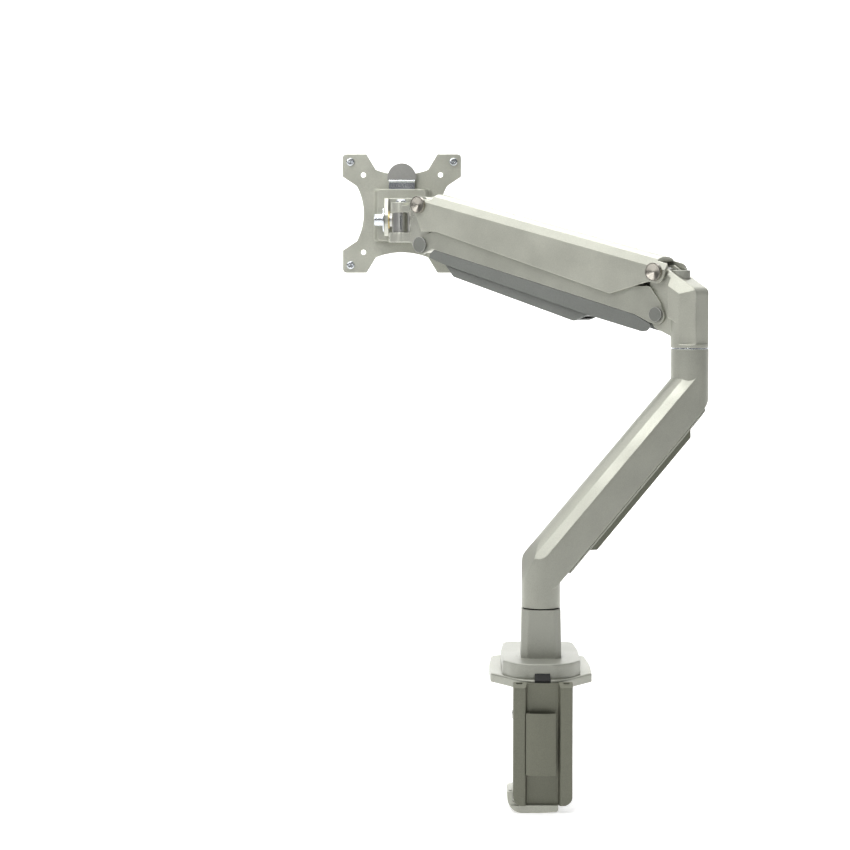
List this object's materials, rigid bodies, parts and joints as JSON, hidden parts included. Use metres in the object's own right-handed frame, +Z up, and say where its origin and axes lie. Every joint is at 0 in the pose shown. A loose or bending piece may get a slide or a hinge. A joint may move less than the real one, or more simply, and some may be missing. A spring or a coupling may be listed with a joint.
{
  "type": "monitor arm",
  "caption": "Desk-clamp monitor arm: swivelling angled lower arm, elbow, gas-spring parallelogram upper arm and a tilting, turning VESA plate.",
  "frame": {"origin": "the point where the base swivel axis meets the desk top, on the underside of the rubber desk pad", "axes": "+Z is up along the base swivel axis; +Y is away from the desk's rear edge, the way the monitor plate faces at rest; +X is to the right seen from behind the desk"},
  "size_m": [0.3323, 0.3811, 0.567],
  "materials": {
    "rubber": "matte black rubber",
    "silver_paint": "fine satin metallic paint",
    "grey_cover": "satin metallic paint, slightly darker",
    "grey_plastic": "matte grey plastic",
    "steel": "turned steel",
    "black_paint": "gloss black gas cylinder",
    "bright_zinc": "bright plated steel",
    "brass": "plain brass",
    "washer_plastic": "black bearing plastic"
  },
  "bodies": {
    "base": {"base_pad": "rubber", "base_plate": "silver_paint", "notch_plug": "rubber", "base_cover": "grey_cover", "base_post": "silver_paint", "swivel_pin": "steel", "swivel_washer": "washer_plastic", "clamp_bracket": "grey_cover", "clamp_cable_clip": "grey_cover", "bracket_screws": "bright_zinc", "clamp_jaw": "silver_paint", "jaw_screws": "bright_zinc"},
    "clamp_foot": {"pressure_plate": "steel", "pressure_pad": "rubber"},
    "clamp_spindle": {"clamp_screw": "steel"},
    "lower": {"lower_arm": "silver_paint", "swivel_bush": "washer_plastic", "lower_arm_cover": "grey_cover", "lower_cable_duct": "grey_cover", "elbow_pin": "steel", "elbow_ring": "bright_zinc"},
    "elbow": {"elbow_head": "silver_paint", "rear_upper_pin": "steel", "rear_lower_pin": "steel", "rear_upper_caps": "bright_zinc", "rear_lower_caps": "grey_plastic", "tension_slider": "steel", "tension_screw": "steel", "tension_pin": "steel"},
    "knob": {"elbow_knob": "grey_plastic"},
    "upper": {"upper_shell": "silver_paint", "gas_cylinder": "black_paint", "gas_pin": "steel"},
    "strut_rod": {"gas_rod": "steel", "gas_rod_eye": "steel"},
    "link": {"lower_link": "silver_paint", "link_cover": "grey_plastic", "upper_cable_duct": "grey_plastic"},
    "front": {"front_head": "silver_paint", "front_upper_pin": "steel", "front_lower_pin": "steel", "front_upper_caps": "bright_zinc", "front_lower_caps": "grey_plastic", "pan_bolt": "bright_zinc", "pan_washers": "steel"},
    "knuckle": {"knuckle": "grey_cover", "tilt_bolt": "bright_zinc", "tilt_washers": "brass", "tilt_nut": "steel"},
    "tilt": {"tilt_bracket": "silver_paint", "tilt_spring_disc": "bright_zinc", "rotation_rivet": "steel", "rotation_washer": "steel"},
    "mount": {"adapter_block": "silver_paint", "vesa_plate": "silver_paint", "vesa_screws": "bright_zinc"},
    "latch": {"latch_strip": "bright_zinc", "latch_tab": "grey_plastic"}
  },
  "joints": [
    {"name": "clamp_lift", "type": "slide", "parent": "base", "child": "clamp_foot", "axis": [0, 0, 1], "range_m": [-0.04, 0]},
    {"name": "clamp_turn", "type": "hinge", "parent": "clamp_foot", "child": "clamp_spindle", "pos_m": [-0.006, 0.012, -0.07], "axis": [0, 0, 1], "continuous": true},
    {"name": "base_swivel", "type": "hinge", "parent": "base", "child": "lower", "pos_m": [0, 0, 0.064], "axis": [0, 0, 1], "range_deg": [-115, 65]},
    {"name": "elbow_swivel", "type": "hinge", "parent": "lower", "child": "elbow", "pos_m": [0.13232, 0.0617, 0.285], "axis": [0, 0, 1], "range_deg": [-90, 90]},
    {"name": "knob_turn", "type": "hinge", "parent": "elbow", "child": "knob", "pos_m": [0.1246, 0.06774, 0.348], "axis": [0, 0, 1], "continuous": true},
    {"name": "arm_lift", "type": "hinge", "parent": "elbow", "child": "upper", "pos_m": [0.11262, 0.07709, 0.3515], "axis": [0.6157, 0.788, 0], "range_deg": [-48.2, 26.8]},
    {"name": "link_lift", "type": "hinge", "parent": "elbow", "child": "link", "pos_m": [0.11262, 0.07709, 0.314], "axis": [0.6157, 0.788, 0], "range_deg": [-48.3, 26.9]},
    {"name": "strut_slide", "type": "slide", "parent": "upper", "child": "strut_rod", "axis": [-0.7672, 0.5994, 0.2284], "range_m": [-0.0138, 0.0138]},
    {"name": "front_level", "type": "hinge", "parent": "upper", "child": "front", "pos_m": [-0.09667, 0.24061, 0.41379], "axis": [0.6157, 0.788, 0], "range_deg": [-26.9, 48.3]},
    {"name": "head_pan", "type": "hinge", "parent": "front", "child": "knuckle", "pos_m": [-0.12575, 0.26333, 0.3975], "axis": [0, 0, 1], "range_deg": [-20, 110]},
    {"name": "head_tilt", "type": "hinge", "parent": "knuckle", "child": "tilt", "pos_m": [-0.12575, 0.27783, 0.4005], "axis": [1, 0, 0], "range_deg": [-25, 38]},
    {"name": "plate_turn", "type": "hinge", "parent": "tilt", "child": "mount", "pos_m": [-0.12575, 0.28993, 0.4055], "axis": [0, 1, 0], "range_deg": [-90, 90]},
    {"name": "latch_press", "type": "hinge", "parent": "mount", "child": "latch", "pos_m": [-0.12575, 0.29803, 0.4245], "axis": [1, 0, 0], "range_deg": [0, 6], "stiffness_Nm_per_rad": 0.4}
  ],
  "couplings": [
    {"joint": "link_lift", "follows": "arm_lift", "ratio": 1},
    {"joint": "front_level", "follows": "arm_lift", "ratio": -1},
    {"joint": "strut_slide", "follows": "arm_lift", "m_per_rad": -0.01512}
  ]
}
